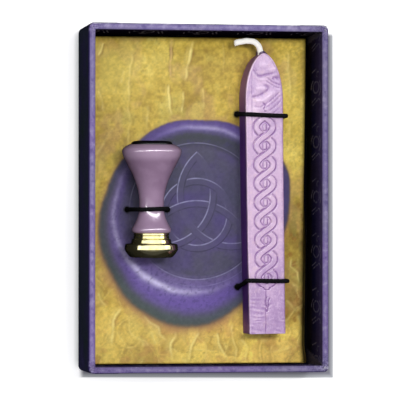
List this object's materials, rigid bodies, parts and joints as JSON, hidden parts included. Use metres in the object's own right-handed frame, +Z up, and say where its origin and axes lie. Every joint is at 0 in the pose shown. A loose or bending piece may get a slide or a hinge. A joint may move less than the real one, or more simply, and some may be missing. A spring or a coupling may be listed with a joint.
{
  "type": "wax seal set box",
  "caption": "Open paper-covered tray with a lift-out printed card platform, on which elastic cords hold a brass-headed seal stamp and a wicked stick of sealing wax.",
  "frame": {"origin": "centre of the tray's underside, on the surface that it stands on", "axes": "+Y along the tray's length, towards the wax stick's pointed end; +X across the tray, from the stamp to the wax; +Z up, out of the open side"},
  "size_m": [0.076, 0.109, 0.026],
  "materials": {
    "greyboard": "raw greyboard",
    "stay_tape": "kraft tape",
    "wrap_paper": "near-black navy printed paper, lavender at the rim, pale scroll ornament inside",
    "base_paper": "near-black navy paper",
    "liner_paper": "near-black navy paper",
    "printed_card": "satin card printed as creased parchment with a violet seal",
    "elastic_cord": "black braided cover on a rubber core",
    "lacquered_handle": "gloss mauve lacquer",
    "black_cap": "gloss black",
    "brass": "polished and turned",
    "steel_stud": "turned",
    "sealing_wax": "pearlescent violet wax",
    "cotton_wick": "waxed cotton"
  },
  "bodies": {
    "tray": {"base_board": "greyboard", "left_wall_board": "greyboard", "right_wall_board": "greyboard", "front_wall_board": "greyboard", "back_wall_board": "greyboard", "corner_stay_front_left": "stay_tape", "corner_stay_front_right": "stay_tape", "corner_stay_back_left": "stay_tape", "corner_stay_back_right": "stay_tape", "wrap_paper": "wrap_paper", "base_sheet": "base_paper", "floor_liner": "liner_paper"},
    "insert": {"insert_card": "printed_card", "elastic_stamp": "elastic_cord", "elastic_wax_upper": "elastic_cord", "elastic_wax_lower": "elastic_cord"},
    "stamp": {"handle": "lacquered_handle", "handle_end_cap": "black_cap", "seal_head": "brass", "handle_stud": "steel_stud"},
    "wax": {"wax_stick": "sealing_wax", "wick": "cotton_wick"}
  },
  "joints": [
    {"name": "insert_lift", "type": "slide", "parent": "tray", "child": "insert", "axis": [0, 0, 1], "range_m": [0, 0.05]},
    {"name": "stamp_lift", "type": "slide", "parent": "insert", "child": "stamp", "axis": [0, 0, 1], "range_m": [0, 0.05], "deforming": ["elastic_stamp"]},
    {"name": "wax_lift", "type": "slide", "parent": "insert", "child": "wax", "axis": [0, 0, 1], "range_m": [0, 0.05], "deforming": ["elastic_wax_upper", "elastic_wax_lower"]}
  ]
}
